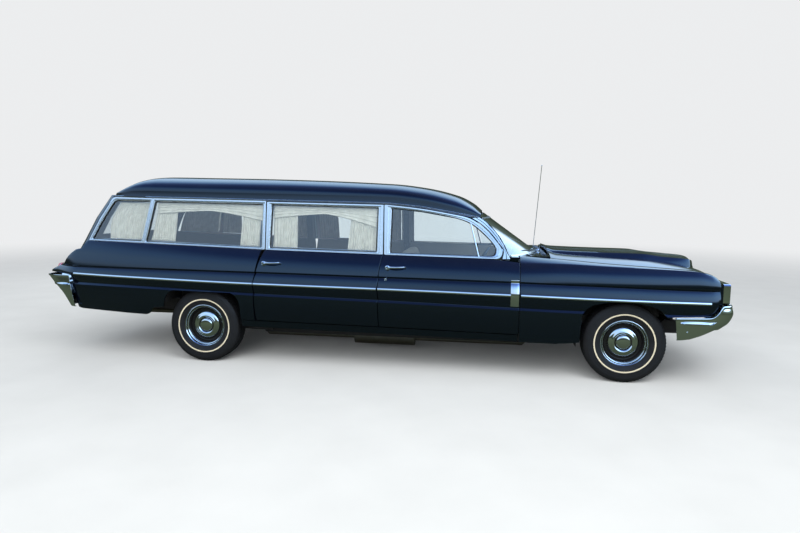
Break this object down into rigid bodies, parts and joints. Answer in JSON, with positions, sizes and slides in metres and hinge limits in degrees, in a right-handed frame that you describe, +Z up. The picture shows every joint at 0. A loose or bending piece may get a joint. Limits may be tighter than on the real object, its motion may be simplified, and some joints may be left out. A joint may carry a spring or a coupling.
{
  "type": "hearse",
  "caption": "Long black early-sixties hearse with bright window frames, pleated drapes, opening doors and hood, and steered front wheels.",
  "frame": {"origin": "on the floor under the middle of the car's length and width", "axes": "+X forward, +Y to the car's left, +Z up"},
  "size_m": [6.37, 1.98, 1.9559],
  "materials": {
    "black_paint": "gloss",
    "bright_frame": "polished",
    "chrome": "polished",
    "glass": "clear",
    "lamp_glass": "clear",
    "red_lens": "gloss",
    "tyre": "matt",
    "wheel_black": "gloss",
    "underbody": "matt",
    "cast_metal": "matt",
    "exhaust_steel": "dull",
    "seat_cloth": "woven",
    "drape_cloth": "woven",
    "dash_paint": "satin",
    "deck_wood": "varnished",
    "black_plastic": "gloss"
  },
  "bodies": {
    "car_body": {"aerial": "chrome", "casket_deck": "deck_wood", "chassis_rails": "underbody", "cowl": "black_paint", "cross_members": "underbody", "dashboard": "dash_paint", "engine": "cast_metal", "exhaust": "exhaust_steel", "fixed_drapes": "drape_cloth", "fixed_side_glass": "glass", "fixed_window_frame_left": "bright_frame", "fixed_window_frame_right": "bright_frame", "floor": "underbody", "front_bumper": "chrome", "front_fender_left": "black_paint", "front_fender_right": "black_paint", "front_panel": "black_paint", "fuel_tank": "underbody", "grille": "chrome", "headlamp_bezels": "chrome", "headlamps": "lamp_glass", "rear_axle": "underbody", "rear_bumper": "chrome", "rear_quarter_left": "black_paint", "rear_quarter_right": "black_paint", "rear_wall": "black_paint", "roof": "black_paint", "seat_back": "seat_cloth", "seat_cushion": "seat_cloth", "side_frames": "black_paint", "steering_wheel": "black_plastic", "tail_lamps": "red_lens", "windscreen": "glass"},
    "front_door_left": {"front_door_left": "black_paint", "front_door_glass_left": "glass", "door_mirror": "chrome"},
    "rear_door_left": {"rear_door_left": "black_paint", "rear_door_glass_left": "glass", "rear_door_drape_left": "drape_cloth"},
    "knuckle_left": {"knuckle_left": "underbody"},
    "front_wheel_left": {"front_wheel_left": "wheel_black", "front_tyre_left": "tyre"},
    "rear_wheel_left": {"rear_wheel_left": "wheel_black", "rear_tyre_left": "tyre"},
    "front_door_right": {"front_door_right": "black_paint", "front_door_glass_right": "glass"},
    "rear_door_right": {"rear_door_right": "black_paint", "rear_door_glass_right": "glass", "rear_door_drape_right": "drape_cloth"},
    "knuckle_right": {"knuckle_right": "underbody"},
    "front_wheel_right": {"front_wheel_right": "wheel_black", "front_tyre_right": "tyre"},
    "rear_wheel_right": {"rear_wheel_right": "wheel_black", "rear_tyre_right": "tyre"},
    "loading_door": {"loading_door": "black_paint", "loading_door_glass": "glass"},
    "hood": {"hood": "black_paint"}
  },
  "joints": [
    {"name": "front_door_left_hinge", "type": "hinge", "parent": "car_body", "child": "front_door_left", "pos_m": [1.379, 0.988, 0.75], "axis": [0, 0, -1], "range_deg": [0, 65]},
    {"name": "rear_door_left_hinge", "type": "hinge", "parent": "car_body", "child": "rear_door_left", "pos_m": [0.143, 0.988, 0.75], "axis": [0, 0, -1], "range_deg": [0, 65]},
    {"name": "steering_left", "type": "hinge", "parent": "car_body", "child": "knuckle_left", "pos_m": [2.27, 0.7, 0.3465], "axis": [0, 0, 1], "range_deg": [-32, 32]},
    {"name": "front_wheel_left_spin", "type": "hinge", "parent": "knuckle_left", "child": "front_wheel_left", "pos_m": [2.27, 0.775, 0.3465], "axis": [0, 1, 0], "continuous": true},
    {"name": "rear_wheel_left_spin", "type": "hinge", "parent": "car_body", "child": "rear_wheel_left", "pos_m": [-1.54, 0.775, 0.3465], "axis": [0, 1, 0], "continuous": true},
    {"name": "front_door_right_hinge", "type": "hinge", "parent": "car_body", "child": "front_door_right", "pos_m": [1.379, -0.988, 0.75], "axis": [0, 0, 1], "range_deg": [0, 65]},
    {"name": "rear_door_right_hinge", "type": "hinge", "parent": "car_body", "child": "rear_door_right", "pos_m": [0.143, -0.988, 0.75], "axis": [0, 0, 1], "range_deg": [0, 65]},
    {"name": "steering_right", "type": "hinge", "parent": "car_body", "child": "knuckle_right", "pos_m": [2.27, -0.7, 0.3465], "axis": [0, 0, 1], "range_deg": [-32, 32]},
    {"name": "front_wheel_right_spin", "type": "hinge", "parent": "knuckle_right", "child": "front_wheel_right", "pos_m": [2.27, -0.775, 0.3465], "axis": [0, 1, 0], "continuous": true},
    {"name": "rear_wheel_right_spin", "type": "hinge", "parent": "car_body", "child": "rear_wheel_right", "pos_m": [-1.54, -0.775, 0.3465], "axis": [0, 1, 0], "continuous": true},
    {"name": "loading_door_hinge", "type": "hinge", "parent": "car_body", "child": "loading_door", "pos_m": [-3.11, 0.6, 1.1], "axis": [0, 0, -1], "range_deg": [0, 95]},
    {"name": "hood_hinge", "type": "hinge", "parent": "car_body", "child": "hood", "pos_m": [1.648, 0, 1.122], "axis": [0, -1, 0], "range_deg": [0, 45]}
  ],
  "couplings": [
    {"joint": "steering_right", "follows": "steering_left", "ratio": 1}
  ]
}
